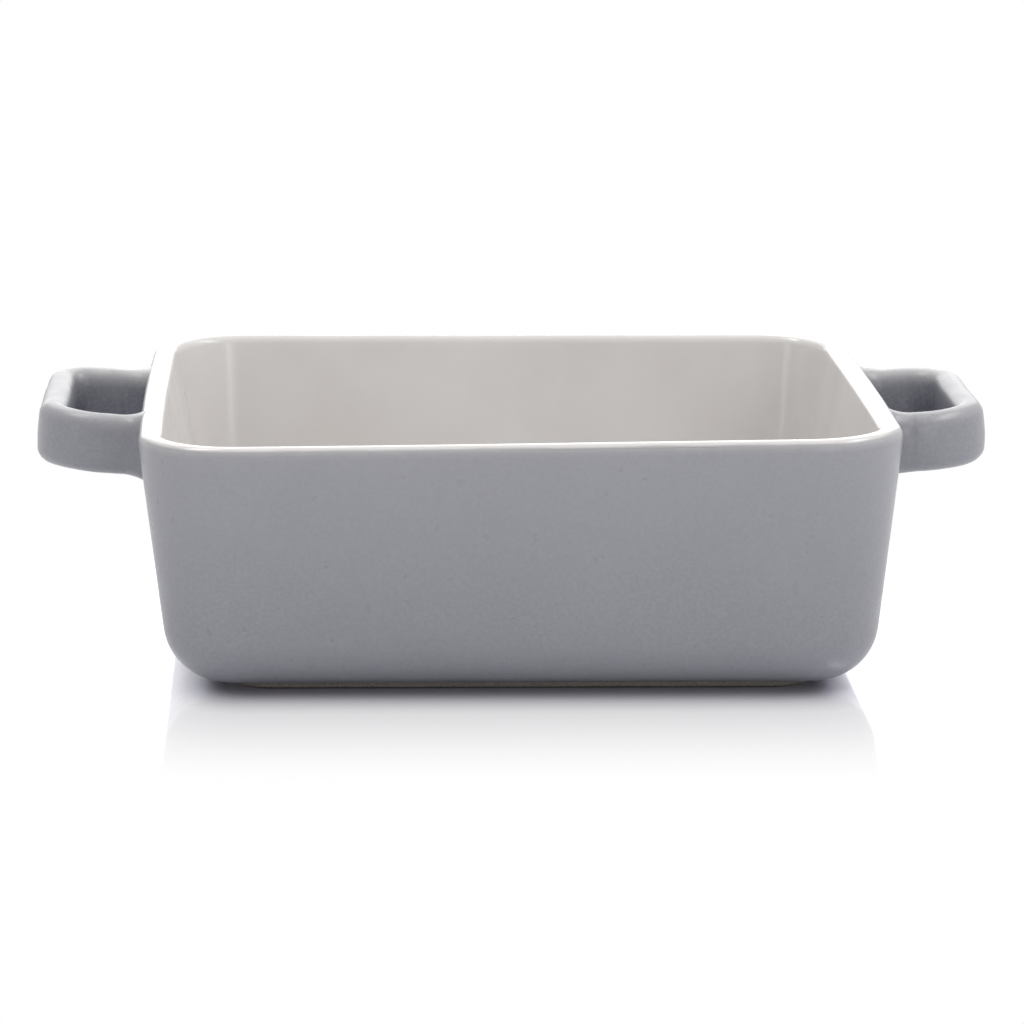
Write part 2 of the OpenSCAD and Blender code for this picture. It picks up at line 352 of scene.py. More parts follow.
class Section:
    """Lines of the wall's section, measured outwards from a corner axis and up from the table."""

    def __init__(self, sizes):
        self.s = sizes
        self.base_z = foot_high.z - sizes.glaze + sizes.lift
        self.floor_z = lining_low.z + sizes.glaze + sizes.lift
        draft, lean, rim = sizes.draft, sizes.inner_draft, sizes.rim_radius
        self.draft, self.lean = math.degrees(draft), math.degrees(lean)
        self.rim_z = sizes.height - rim
        self.rim_out = (sizes.corner - rim, self.rim_z)
        self.rim_in = (sizes.corner - sizes.wall + rim, self.rim_z)
        base_up = self.base_z + sizes.base_radius
        base_run = (base_up - self.rim_z) * math.sin(draft) + rim - sizes.base_radius
        self.base_arc = (self.rim_out[0] + base_run / math.cos(draft), base_up)
        floor_up = self.floor_z + sizes.floor_radius
        floor_run = (floor_up - self.rim_z) * math.sin(lean) - rim - sizes.floor_radius
        self.floor_arc = (self.rim_in[0] + floor_run / math.cos(lean), floor_up)

    def wrap_angle(self, inset):
        """Angle on the rim's outer arc where the white glaze ends."""
        rim = self.s.rim_radius
        return math.degrees(math.asin((rim - self.s.wrap) / (rim - inset)))

    def drawn_in(self, start, end):
        """Points between the ends of a wall line, hollowed a little at half height."""
        return [
            (out - self.s.hollow * math.sin(math.pi * i / WALL_STEPS) ** 2, level)
            for i, (out, level) in enumerate(between(start, end, WALL_STEPS), 1)
        ]

    def outside(self, inset, inner_radius):
        """From the flat underside up the outside of the wall to the end of the white glaze."""
        rim = self.s.rim_radius - inset
        base = arc(self.base_arc, self.s.base_radius - inset, -90, -self.draft, BASE_STEPS)
        edge = arc(self.rim_out, rim, -self.draft, self.wrap_angle(inset), OUTER_RIM_STEPS)
        wall = self.drawn_in(base[-1], edge[0])
        return [(inner_radius, self.base_z + inset), *base, *wall, *edge]

    def over_rim(self, inset, lower=0.0):
        """From the end of the white glaze, or lower by some degrees, over the rim."""
        start = self.wrap_angle(inset) - lower
        return arc(self.rim_out, self.s.rim_radius - inset, start, 90, RIM_STEPS)

    def inside(self, inset, inner_radius):
        """From the rim down the inside of the wall to the floor."""
        rim = arc(self.rim_in, self.s.rim_radius - inset, 90, 180 - self.lean, INNER_RIM_STEPS)
        floor = arc(self.floor_arc, self.s.floor_radius + inset, -self.lean, -90, FLOOR_STEPS)
        wall = self.drawn_in(rim[-1], floor[0])
        return [*rim, *wall, *floor, (inner_radius, self.floor_z - inset)]


def section_mesh(name, points, closed, marks):
    """Mesh of edges for a section, ready to be swept, with named shares at its points.

    out is a point's distance from the corner axis and level its height from the table.
    """
    count = len(points)
    edges = [(i, i + 1) for i in range(count - 1)]
    if closed:
        edges.append((count - 1, 0))
    mesh = bpy.data.meshes.new(name)
    mesh.from_pydata([(r, -z, 0.0) for r, z in points], edges, [])
    out, level = zip(*points)
    for mark, values in {**marks, "out": out, "level": level}.items():
        mesh.attributes.new(mark, "FLOAT", "POINT").data.foreach_set("value", values)
    return mesh


# Node trees for the sweep


class Tree:
    """A node tree that is built by naming nodes and what goes into them."""

    def __init__(self, tree):
        self.tree = tree

    def node(self, kind, settings=None, **inputs):
        """A new node with its settings, and with values or sockets fed to its inputs."""
        made = self.tree.nodes.new(kind)
        for key, value in (settings or {}).items():
            setattr(made, key, value)
        for key, value in inputs.items():
            self.feed(made, key, value)
        return made

    def feed(self, made, key, value):
        """Links a socket, or sets a plain value, at an input's name or place."""
        place = int(key[1:]) if key[0] == "_" and key[1:].isdigit() else key.replace("_", " ")
        socket = made.inputs[place]
        if isinstance(value, bpy.types.NodeSocket):
            self.tree.links.new(value, socket)
        else:
            socket.default_value = value

    def sum(self, operation, first, second=0.0, third=None):
        """Result of a sum on numbers."""
        made = self.node("ShaderNodeMath", {"operation": operation}, _0=first, _1=second)
        if third is not None:
            self.feed(made, "_2", third)
        return made.outputs[0]

    def vector(self, operation, first, second=None, out=0):
        """Result of a sum on vectors."""
        made = self.node("ShaderNodeVectorMath", {"operation": operation}, _0=first)
        if second is not None:
            key = "Scale" if operation == "SCALE" else "_1"
            self.feed(made, key, second)
        return made.outputs[out]


def new_group(name, inputs):
    """A Geometry Nodes group with named inputs and one geometry output."""
    group = bpy.data.node_groups.new(name, "GeometryNodeTree")
    for label, kind, default in inputs:
        socket = group.interface.new_socket(name=label, in_out="INPUT", socket_type=kind)
        if default is not None:
            socket.default_value = default
    group.interface.new_socket(name="Geometry", in_out="OUTPUT", socket_type="NodeSocketGeometry")
    tree = Tree(group)
    return group, tree, tree.node("NodeGroupInput").outputs, tree.node("NodeGroupOutput")


GEOMETRY, FLOAT, INTEGER = "NodeSocketGeometry", "NodeSocketFloat", "NodeSocketInt"
PATH_INPUTS = (
    ("Straight X", FLOAT, 158 * MM),
    ("Straight Y", FLOAT, 136 * MM),
    ("Radius", FLOAT, 27 * MM),
    ("Corner Steps", INTEGER, CORNER_STEPS),
    ("Side Step", FLOAT, SIDE_STEP),
)


def path_group():
    """Rounded rectangle: straight runs between corner axes, and steps round each corner."""
    group, t, given, out = new_group("Rounded Rectangle", PATH_INPUTS)
    twice = t.sum("MULTIPLY", given["Radius"], 2.0)
    frame_line = t.node(
        "GeometryNodeCurvePrimitiveQuadrilateral",
        Width=t.sum("ADD", given["Straight X"], twice),
        Height=t.sum("ADD", given["Straight Y"], twice),
    )
    rounded = t.node(
        "GeometryNodeFilletCurve",
        {"mode": "POLY"},
        Curve=frame_line.outputs[0],
        Count=given["Corner Steps"],
        Radius=given["Radius"],
    )
    place = t.node("GeometryNodeInputPosition").outputs[0]
    following = t.node("GeometryNodeOffsetPointInCurve", Offset=1).outputs["Point Index"]
    place_after = t.node(
        "GeometryNodeFieldAtIndex", {"data_type": "FLOAT_VECTOR"}, Index=following, Value=place
    ).outputs[0]
    gap = t.vector("DISTANCE", place, place_after, out="Value")
    # A run is cut once it is longer than 0.7 of a side step
    spare = 0.3
    per_step = t.sum("DIVIDE", 1.0, given["Side Step"])
    cuts = t.sum("FLOOR", t.sum("MULTIPLY_ADD", gap, per_step, spare))
    stepped = t.node("GeometryNodeSubdivideCurve", Curve=rounded.outputs[0], Cuts=cuts)
    t.feed(out, "Geometry", stepped.outputs[0])
    return group


def named(t, label, kind="FLOAT"):
    """A named share or place that the geometry carries."""
    made = t.node("GeometryNodeInputNamedAttribute", {"data_type": kind}, Name=label)
    return made.outputs["Attribute"]


def path_node(t, path, given, radius):
    """The rounded rectangle at a radius, with the sweep's own runs and steps."""
    return t.node(
        "GeometryNodeGroup",
        {"node_tree": path},
        Straight_X=given["Straight X"],
        Straight_Y=given["Straight Y"],
        Radius=radius,
        Corner_Steps=given["Corner Steps"],
        Side_Step=given["Side Step"],
    ).outputs[0]


def sweep_group(path):
    """Sweeps a section round the rounded rectangle, closes its middle and gives it soft waves.

    The share called foot moves a point from the tub's plan to the foot ring's, and the share called
    steady keeps a point from the waves.
    """
    group, t, given, out = new_group(
        "Swept Section",
        [
            ("Section", GEOMETRY, None),
            *PATH_INPUTS,
            ("Middle", "NodeSocketBool", False),
            ("Middle Radius", FLOAT, MIDDLE_RADIUS),
            ("Upper Level", FLOAT, 9 * MM),
            ("Lower Level", FLOAT, 8.5 * MM),
            ("Foot X", FLOAT, 139 * MM),
            ("Foot Y", FLOAT, 117 * MM),
            ("Foot Radius", FLOAT, 9.5 * MM),
            ("Wave", FLOAT, 0.07 * MM),
            ("Wave Size", FLOAT, 38 * MM),
            ("Seed", INTEGER, 7),
            ("Finish", "NodeSocketMaterial", None),
        ],
    )
    place = t.node("GeometryNodeInputPosition").outputs[0]
    runs = t.node("ShaderNodeCombineXYZ", X=given["Straight X"], Y=given["Straight Y"]).outputs[0]
    half = t.vector("SCALE", runs, 0.5)
    back = t.vector("SCALE", half, -1.0)

    def axis_and_way(point):
        """A point's corner axis, or its foot on a straight run, and the way out from there."""
        axis = t.vector("MAXIMUM", t.vector("MINIMUM", point, half), back)
        return axis, t.vector("NORMALIZE", t.vector("SUBTRACT", point, axis))

    axis, heading = axis_and_way(place)
    line = path_node(t, path, given, given["Radius"])
    for label, value in (("axis", axis), ("heading", heading)):
        line = t.node(
            "GeometryNodeStoreNamedAttribute",
            {"data_type": "FLOAT_VECTOR", "domain": "POINT"},
            Geometry=line,
            Name=label,
            Value=value,
        ).outputs[0]
    section = t.node("GeometryNodeMeshToCurve", Mesh=given["Section"]).outputs[0]
    swept = t.node("GeometryNodeCurveToMesh", Curve=line, Profile_Curve=section).outputs[0]
    exact = t.vector("MULTIPLY_ADD", named(t, "heading", "FLOAT_VECTOR"), named(t, "out"))
    t.feed(exact.node, "_2", named(t, "axis", "FLOAT_VECTOR"))
    level = t.node("ShaderNodeCombineXYZ", Z=named(t, "level")).outputs[0]
    swept = t.node(
        "GeometryNodeSetPosition", Geometry=swept, Position=t.vector("ADD", exact, level)
    ).outputs[0]

    # Flat middle, upper and lower, on the same ring of points as the section's ends
    flat = t.node(
        "GeometryNodeFillCurve",
        {"mode": "NGONS"},
        Curve=path_node(t, path, given, given["Middle Radius"]),
    ).outputs[0]
    slabs = []
    for level, turned in ((given["Upper Level"], False), (given["Lower Level"], True)):
        lift = t.node("ShaderNodeCombineXYZ", Z=level).outputs[0]
        slab = t.node("GeometryNodeSetPosition", Geometry=flat, Offset=lift).outputs[0]
        if turned:
            slab = t.node("GeometryNodeFlipFaces", Mesh=slab).outputs[0]
        slabs.append(
            t.node(
                "GeometryNodeStoreNamedAttribute",
                {"data_type": "FLOAT", "domain": "POINT"},
                Geometry=slab,
                Name="steady",
                Value=1.0,
            ).outputs[0]
        )
    middle = t.node("GeometryNodeJoinGeometry")
    for slab in slabs:
        t.tree.links.new(slab, middle.inputs[0])
    chosen = t.node("GeometryNodeSwitch", {"input_type": "GEOMETRY"}, Switch=given["Middle"])
    t.tree.links.new(middle.outputs[0], chosen.inputs["True"])
    whole = t.node("GeometryNodeJoinGeometry")
    t.tree.links.new(swept, whole.inputs[0])
    t.tree.links.new(chosen.outputs[0], whole.inputs[0])
    joined = t.node(
        "GeometryNodeMergeByDistance", Geometry=whole.outputs[0], Distance=MERGE_DISTANCE
    ).outputs[0]

    # From the tub's plan to the foot ring's plan
    flat_place = t.vector("MULTIPLY", place, (1.0, 1.0, 0.0))
    flat_axis, way_out = axis_and_way(flat_place)
    below = t.node("ShaderNodeCombineXYZ", X=given["Foot X"], Y=given["Foot Y"]).outputs[0]
    foot_share = t.vector("DIVIDE", below, runs)
    foot_place = t.vector(
        "ADD",
        t.vector("MULTIPLY", flat_axis, foot_share),
        t.vector("SCALE", way_out, given["Foot Radius"]),
    )
    step = t.vector("SCALE", t.vector("SUBTRACT", foot_place, flat_place), named(t, "foot"))
    footed = t.node("GeometryNodeSetPosition", Geometry=joined, Offset=step).outputs[0]

    # Soft waves along the surface's own normal
    steady = named(t, "steady")
    wave = t.node(
        "ShaderNodeTexNoise",
        {"noise_dimensions": "4D"},
        Vector=place,
        W=given["Seed"],
        Scale=t.sum("DIVIDE", 1.0, given["Wave Size"]),
        Detail=0.0,
    ).outputs[0]
    depth = t.sum(
        "MULTIPLY",
        t.sum("MULTIPLY", t.sum("SUBTRACT", wave, 0.5), t.sum("MULTIPLY", given["Wave"], 2.0)),
        t.sum("SUBTRACT", 1.0, steady),
    )
    normal = t.node("GeometryNodeInputNormal").outputs[0]
    waved = t.node(
        "GeometryNodeSetPosition", Geometry=footed, Offset=t.vector("SCALE", normal, depth)
    ).outputs[0]
    real = t.node("GeometryNodeRealizeInstances", Geometry=waved).outputs[0]
    done = t.node("GeometryNodeSetMaterial", Geometry=real, Material=given["Finish"]).outputs[0]
    t.feed(out, "Geometry", done)
    return group


def swept_piece(name, section, finish, values):
    """Object made by sweeping a section mesh through the node tree, as a plain mesh."""
    maker = link_object(name + "_section", section)
    modifier = maker.modifiers.new("Swept Section", "NODES")
    modifier.node_group = bpy.data.node_groups["Swept Section"]
    sockets = {
        item.name: item.identifier
        for item in modifier.node_group.interface.items_tree
        if item.item_type == "SOCKET" and item.in_out == "INPUT"
    }
    for label, value in {**values, "Finish": finish}.items():
        modifier[sockets[label]] = value
    bpy.context.view_layer.update()
    graph = bpy.context.evaluated_depsgraph_get()
    mesh = bpy.data.meshes.new_from_object(
        maker.evaluated_get(graph), preserve_all_data_layers=True, depsgraph=graph
    )
    mesh.name = name
    maker.modifiers.clear()
    bpy.data.objects.remove(maker)
    return link_object(name, mesh)


# Marks of the hand and the kiln


def settle(points, sizes, marks):
    """Moves points as drying and firing have moved the dish, most at the rim."""
    x = np.clip(points[:, 0] / (sizes.rim_length / 2), -1, 1)
    y = np.clip(points[:, 1] / (sizes.rim_depth / 2), -1, 1)
    up = np.clip(points[:, 2] / sizes.height, 0, 1)
    # How much of a move a height takes: low grows all the way up, and rim only near the top
    low, rim = up**1.5, up**5
    moved = points.copy()
    moved[:, 0] -= up * marks.lean
    moved[:, 2] += up * marks.tilt * x
    moved[:, 0] += rim * (marks.short_bow - marks.pinch * y**2) * x**3
    moved[:, 1] += low * marks.long_bow * (1 - x**2) * y
    moved[:, 2] -= low * marks.twist * x * y
    moved[:, 2] -= low * marks.sag * np.cos(x * math.pi / 2) * y**2
    moved[:, 2] += low * marks.back_rise * np.clip(y, 0, 1) ** 2
    return moved


def settle_mesh(mesh, sizes, marks):
    """Settles every vertex of a mesh."""
    points = np.empty(len(mesh.vertices) * 3)
    mesh.vertices.foreach_get("co", points)
    mesh.vertices.foreach_set("co", settle(points.reshape(-1, 3), sizes, marks).ravel())
    mesh.update()


# Loop handles


def strap_section(sizes, turned=False):
    """Closed section of the strap: places across, outwards first, and up, and their facings.

    A turned section is fuller towards the finger gap and tighter outside.
    """
    across, up = sizes.thick / 2, sizes.height / 2
    corners = ((1, 1, 0), (-1, 1, 90), (-1, -1, 180), (1, -1, 270))
    turns = []
    for side, level, first in corners:
        edge = sizes.edge_out if (side > 0) != turned else sizes.edge_in
        centre = (side * (across - edge), level * (up - edge))
        turn, facing = (
            arc(middle, radius, first, first + 90, EDGE_STEPS)
            for middle, radius in ((centre, edge), ((0, 0), 1))
        )
        turns.append((turn, facing))
    places, facings = [], []
    for i, (turn, facing) in enumerate(turns):
        places += turn
        facings += facing
        # The face after this turn, swelling in its middle
        start, end, out = turn[-1], turns[(i + 1) % len(turns)][0][0], facing[-1]
        span = WIDE_FACE_STEPS if abs(out[0]) > abs(out[1]) else NARROW_FACE_STEPS
        for k, (u, v) in enumerate(between(start, end, span), 1):
            swell = sizes.crown * math.dist(start, end) * math.sin(math.pi * k / span)
            places.append((u + swell * out[0], v + swell * out[1]))
            facings.append(out)
    return places, facings


class LoopLine:
    """Middle line of one half of a loop, from its leg on the wall to the middle of its end bar."""

    def __init__(self, plan, strap, lean, corner):
        self.lean, self.corner = lean, corner
        self.bar = plan.reach - strap.thick / 2
        self.turn_x = self.bar - corner
        self.leg_x = self.turn_x + corner * math.sin(lean)
        self.leg_y = plan.spread / 2 - self.leg_x * math.tan(lean)
        self.turn_y = self.leg_y - corner * math.cos(lean)

    def turn(self):
        """Places (x, y) and headings round the corner, and along the bar to its middle."""
        for i in range(TURN_STEPS + 1):
            t = (self.lean - math.pi / 2) * (1 - i / TURN_STEPS)
            x, y = self.corner * math.cos(t), self.corner * math.sin(t)
            yield self.turn_x + x, y - self.turn_y, t + math.pi / 2
        for i in range(1, TURN_STEPS // 2):
            yield self.bar, -self.turn_y * (1 - 2 * i / TURN_STEPS), math.pi / 2


def half_loop(plan, strap, dish, line, wall, inset, side, half):
    """Rings of the strap from the wall to the middle of the bar, for the front or the back half.

    side is 1 for the right handle, and half is 1 for the front half.
    """
    plain, facings = strap_section(strap)
    full = strap_section(strap, turned=True)[0]
    tilt = plan.tilt
    middle_z = dish.height - plan.drop - strap.height / 2
    turned = 0.0 if half > 0 else 1.0

    def to_dish(p):
        """From the loop's own plan to the dish, tilted up from the rim line."""
        return Vector(
            (
                side * (dish.rim_length / 2 + p[0] * math.cos(tilt) - p[2] * math.sin(tilt)),
                half * p[1] + plan.shift,
                middle_z + p[0] * math.sin(tilt) + p[2] * math.cos(tilt),
            )
        )

    def station(x, y, heading, growth, share):
        """Ring of points at one place of the middle line, with a share of the turned section."""
        ring = []
        for first, second, (out, up) in zip(plain, full, facings):
            u, v = (a + (b - a) * share for a, b in zip(first, second))
            out_growth = strap.root_out if out > 0 else strap.root_in
            up_growth = strap.root_up if up > 0 else strap.root_down
            across = u + (growth * out_growth - inset) * out
            level = v + (growth * up_growth - inset) * up
            out_x, out_y = x + across * math.sin(heading), y - across * math.cos(heading)
            ring.append(to_dish((out_x, out_y, level)))
        return ring

    way = (to_dish((math.cos(line.lean), math.sin(line.lean), 0)) - to_dish((0, 0, 0))).normalized()
    leg = line.leg_x / math.cos(line.lean) + WALL_BACK
    flare = [math.radians(90 * i / FLARE_STEPS) for i in range(FLARE_STEPS + 1)]
    steps = [(strap.root * (1 - math.cos(a)), 1 - math.sin(a)) for a in flare]
    steps += [(distance, 0.0) for (distance,) in between((strap.root,), (leg,), LEG_STEPS)]
    rings = []
    for distance, growth in steps:
        ring = []
        for far in station(line.leg_x, -line.leg_y, line.lean, growth, turned):
            near = wall.ray_cast(far, -way)[0]
            if near is None:
                raise RuntimeError("a handle's leg doesn't meet the wall")
            ring.append(near + way * ((far - near).length * distance / leg - ROOT_SINK))
        rings.append(ring)
    rings += [
        station(x, y, heading, 0.0, turned + (0.5 - turned) * min(1.0, i / TURN_STEPS))
        for i, (x, y, heading) in enumerate(line.turn())
    ]
    return rings


def loop_rings(plan, strap, dish, wall, inset, side):
    """Rings of one whole loop, from the foot of its front leg to the foot of its back leg."""
    front = LoopLine(plan, strap, plan.front_lean, plan.front_corner)
    back = LoopLine(plan, strap, plan.back_lean, plan.back_corner)
    first = half_loop(plan, strap, dish, front, wall, inset, side, 1)
    last = half_loop(plan, strap, dish, back, wall, inset, side, -1)
    return [*first, *reversed(last)]


def ring_normals(rings):
    """Outward normals of a tube's points, from its neighbours along and around."""
    grid = np.array([[tuple(p) for p in ring] for ring in rings])
    along = np.gradient(grid, axis=0)
    around = np.roll(grid, -1, axis=1) - np.roll(grid, 1, axis=1)
    normals = np.cross(around, along)
    normals /= np.linalg.norm(normals, axis=2, keepdims=True) + 1e-12
    middle = grid.mean(axis=1, keepdims=True)
    if np.mean(np.sum(normals * (grid - middle), axis=2)) < 0:
        normals = -normals
    return grid, normals


def strap_lumps(rings, marks):
    """Soft lumps of a hand-pulled strap, and smaller marks of the fingers at its two roots."""
    grid, normals = ring_normals(rings)
    count = len(rings)
    for i in range(count):
        fade = min(1.0, i / LUMP_RINGS, (count - 1 - i) / LUMP_RINGS)
        near_root = marks.luting * math.sin(math.pi * fade)
        for j in range(grid.shape[1]):
            point = Vector(grid[i, j])
            wave = noise.noise(point / marks.strap_wave_size + Vector((marks.seed, 0, 0)))
            mark = noise.noise(point / marks.luting_size + Vector((0, marks.seed, 0)))
            grid[i, j] += normals[i, j] * (wave * marks.strap_wave * fade + mark * near_root)
    return grid


def pool_and_shade_shares(count, strap):
    """Shares of thick glaze and painted shade round and along a loop: painted shade towards the
    finger gap, most low down, thick glaze with painted shade at the roots, and thick glaze all
    round.
    """
    everywhere, in_gap, lower_down, at_root, power = 0.27, 0.5, 0.35, 0.32, 1.5
    around = [
        everywhere + max(0.0, -out) ** power * (in_gap - lower_down * v / (strap.height / 2))
        for (_, v), (out, _) in zip(*strap_section(strap))
    ]
    rings = [min(i, count - 1 - i) for i in range(count)]
    along = [at_root * max(0.0, 1 - ring / POOL_AND_SHADE_RINGS) ** power for ring in rings]
    return np.add.outer(along, around).ravel()


def thin_shares(count, strap):
    """Shares of thin glaze on a loop's upper edges, most on its back leg and least on its bar."""
    front_leg, bar, back_leg = 0.2, 0.12, 0.45
    bar_from, bar_to, turn_share = 0.45, 0.55, 0.15
    around = [max(0.0, up) ** 2 for _, up in strap_section(strap)[1]]
    places = (bar_from - turn_share, bar_from, bar_to, bar_to + turn_share)
    along = np.interp(np.linspace(0, 1, count), places, (front_leg, bar, bar, back_leg))
    return np.outer(along, around).ravel()


def tube_mesh(name, outer, inner):
    """Closed mesh between two tubes of rings, or of one tube with capped ends."""
    rings, sides = outer.shape[0], outer.shape[1]
    layers = [outer] if inner is None else [outer, inner]
    points = np.concatenate([layer.reshape(-1, 3) for layer in layers])
    faces = []
    for k in range(len(layers)):
        start = k * rings * sides
        for i in range(rings - 1):
            for j in range(sides):
                a, b = start + i * sides + j, start + i * sides + (j + 1) % sides
                quad = (a, b, b + sides, a + sides)
                faces.append(quad if k == 0 else quad[::-1])
    top = (rings - 1) * sides
    if inner is None:
        faces.append(tuple(range(sides))[::-1])
        faces.append(tuple(top + j for j in range(sides)))
    else:
        below = rings * sides
        for j in range(sides):
            k = (j + 1) % sides
            faces.append((k, j, below + j, below + k))
            faces.append((top + j, top + k, below + top + k, below + top + j))
    mesh = bpy.data.meshes.new(name)
    mesh.from_pydata([tuple(p) for p in points], [], faces)
    mesh.validate()
    return mesh


# Finishes


def new_finish(name):
    """Material with a principled shader, and its tree and object coordinates."""
    finish = bpy.data.materials.new(name)
    finish.use_nodes = True
    t = Tree(finish.node_tree)
    shader = finish.node_tree.nodes["Principled BSDF"]
    place = t.node("ShaderNodeTexCoord").outputs["Object"]
    return finish, t, shader, place


def mix_colour(t, share, first, second):
    """The first colour, mixed with a share of the second. Each is a socket or a plain colour."""
    first, second = (
        value if isinstance(value, bpy.types.NodeSocket) else (*value, 1.0)
        for value in (first, second)
    )
    made = t.node(
        "ShaderNodeMix", {"data_type": "RGBA", "clamp_factor": True}, _0=share, _6=first, _7=second
    )
    return made.outputs[2]


def spread(t, value, low, high, to_low, to_high):
    """Value carried from one range to another, held at its ends."""
    return t.node(
        "ShaderNodeMapRange",
        {"clamp": True},
        Value=value,
        From_Min=low,
        From_Max=high,
        To_Min=to_low,
        To_Max=to_high,
    ).outputs[0]


def cloud(t, place, size, detail=2.0, roughness=0.5):
    """Soft noise whose features are about a size across, in metres."""
    return t.node(
        "ShaderNodeTexNoise", Vector=place, Scale=1.0 / size, Detail=detail, Roughness=roughness
    ).outputs["Fac"]


def carried(t, share):
    """A share that the mesh carries."""
    return t.node("ShaderNodeAttribute", {"attribute_name": share}).outputs["Fac"]


def shaded(colour_values, share):
    """A colour darkened to a share of itself."""
    return tuple(share * c for c in colour_values)


def specks(t, place, size, share, radius):
    """Round specks in a share of the cells of a size: 1 inside a speck, 0 outside."""
    cells = t.node("ShaderNodeTexVoronoi", {"feature": "F1"}, Vector=place, Scale=1.0 / size)
    chance = t.node("ShaderNodeSeparateColor", Color=cells.outputs["Color"]).outputs[0]
    picked = t.sum("GREATER_THAN", chance, 1.0 - share)
    inside = spread(t, cells.outputs["Distance"], radius * 0.5, radius, 1.0, 0.0)
    return t.sum("MULTIPLY", picked, inside)


def bump(t, shader, layers):
    """Chains bump layers of (height, depth in metres) into the shader's normal."""
    normal = None
    for height, depth in layers:
        made = t.node("ShaderNodeBump", Height=height, Strength=1.0, Distance=depth)
        if normal is not None:
            t.feed(made, "Normal", normal)
        normal = made.outputs[0]
    t.feed(shader, "Normal", normal)


def grey_finish(looks):
    """Satin bluish grey glaze: soft clouds, fine specks, darker where it pools and with painted
    shade in creases and low on the walls, paler where it thins over an edge.
    """
    finish, t, shader, place = new_finish("grey_satin_glaze")
    # Darker where the mesh says (thick glaze and painted shade on the handles), down the walls
    # (partly thicker glaze, partly painted shade), and most of all along the lower edge of the coat
    # (painted shade in the crease above the foot ring)
    height = t.node("ShaderNodeSeparateXYZ", Vector=place).outputs[2]
    pool_and_shade = t.sum("MAXIMUM", carried(t, "pool_and_shade"), spread(t, height, 4 * MM, 66 * MM, 0.32, 0.0))
    pool_and_shade = t.sum("MAXIMUM", pool_and_shade, spread(t, height, 2.3 * MM, 3.3 * MM, 0.8, 0.0))
    broad = cloud(t, place, 34 * MM, 3.0)
    pool_and_shade = t.sum("ADD", pool_and_shade, spread(t, broad, 0.3, 0.7, 0.03, -0.03))
    base = mix_colour(t, pool_and_shade, looks.grey, looks.grey_deep_and_shade)
    fine = cloud(t, place, 1.1 * MM, 2.0, 0.6)
    base = mix_colour(t, spread(t, fine, 0.35, 0.7, 0.0, 0.2), base, looks.grey_thin)
    speck_share = 0.22
    dark = t.sum("MULTIPLY", specks(t, place, 2.6 * MM, 0.12, 0.08), speck_share)
    elsewhere = t.vector("ADD", place, (0.31, 0.17, 0.53))
    pale = t.sum("MULTIPLY", specks(t, elsewhere, 1.3 * MM, 0.35, 0.2), speck_share)
    base = mix_colour(t, dark, base, shaded(looks.grey_deep_and_shade, 0.5))
    base = mix_colour(t, pale, base, looks.grey_thin)
    # Paler where the coat is thin, unevenly
    waver = spread(t, cloud(t, place, 5 * MM), 0.3, 0.7, 0.85, 1.1)
    base = mix_colour(t, t.sum("MULTIPLY", carried(t, "thin"), waver), base, looks.white_deep)
    t.feed(shader, "Base_Color", base)
    t.feed(shader, "Roughness", spread(t, cloud(t, place, 6 * MM, 3.0), 0.3, 0.7, 0.27, 0.36))
    bump(t, shader, [(cloud(t, place, 3.4 * MM, 2.0), 0.036 * MM), (fine, 0.006 * MM)])
    return finish


def white_finish(looks):
    """Gloss white glaze: faint warm clouds, soft ripples, greyed where it is wiped at the lip."""
    finish, t, shader, place = new_finish("white_gloss_glaze")
    broad = cloud(t, place, 26 * MM, 2.0, 0.5)
    base = mix_colour(t, spread(t, broad, 0.3, 0.7, 0.0, 1.0), looks.white_deep, looks.white)
    pits = t.sum("MULTIPLY", specks(t, place, 3.2 * MM, 0.1, 0.07), 0.35)
    base = mix_colour(t, pits, base, shaded(looks.white_deep, 0.55))
    # At the lap the white turns into the thin grey that it meets, along a wavering line
    waver = spread(t, cloud(t, place, 14 * MM, 2.0), 0.25, 0.75, -0.3, 0.3)
    lapped = spread(t, t.sum("ADD", carried(t, "lip"), waver), 0.3, 0.8, 0.0, 1.0)
    through = tuple(g + (w - g) * THIN_SHARE for g, w in zip(looks.grey, looks.white_deep))
    t.feed(shader, "Base_Color", mix_colour(t, lapped, base, through))
    gloss = spread(t, cloud(t, place, 24 * MM), 0.3, 0.7, 0.14, 0.19)
    t.feed(shader, "Roughness", t.sum("ADD", gloss, t.sum("MULTIPLY", lapped, 0.15)))
    bump(t, shader, [(cloud(t, place, 24 * MM, 0.0), 0.03 * MM)])
    return finish


def clay_finish(name, light, dark, grain, depth):
    """Bare fired clay: sandy grain with darker specks."""
    finish, t, shader, place = new_finish(name)
    sand = cloud(t, place, grain, 4.0, 0.65)
    base = mix_colour(t, spread(t, sand, 0.35, 0.68, 0.0, 1.0), dark, light)
    iron = t.sum("MULTIPLY", specks(t, place, grain * 2.5, 0.25, 0.2), 0.6)
    base = mix_colour(t, iron, base, shaded(dark, 0.5))
    t.feed(shader, "Base_Color", base)
    t.feed(shader, "Roughness", spread(t, sand, 0.3, 0.7, 0.95, 0.82))
    bump(t, shader, [(sand, depth), (cloud(t, place, grain * 9, 2.0), depth * 2)])
    return finish


# Operators


def chain_marks(points):
    """Shares along a section that every swept mesh carries. Its ends keep still."""
    marks = {mark: [0.0] * len(points) for mark in ("lip", "thin", "foot", "steady")}
    marks["steady"][0] = marks["steady"][-1] = 1.0
    return marks


class DISH_OT_finishes(bpy.types.Operator):
    """Make the glazes and clays"""

    bl_idname = "dish.finishes"
    bl_label = "Make Glazes and Clays"

    def execute(self, context):
        looks = context.scene.dish_finishes
        grey_finish(looks)
        white_finish(looks)
        clay_finish("fired_clay", looks.clay, shaded(looks.clay, 0.7), 1.2 * MM, 0.05 * MM)
        clay_finish("bare_foot_clay", looks.foot, looks.foot_dark, 0.7 * MM, 0.06 * MM)
        return {"FINISHED"}


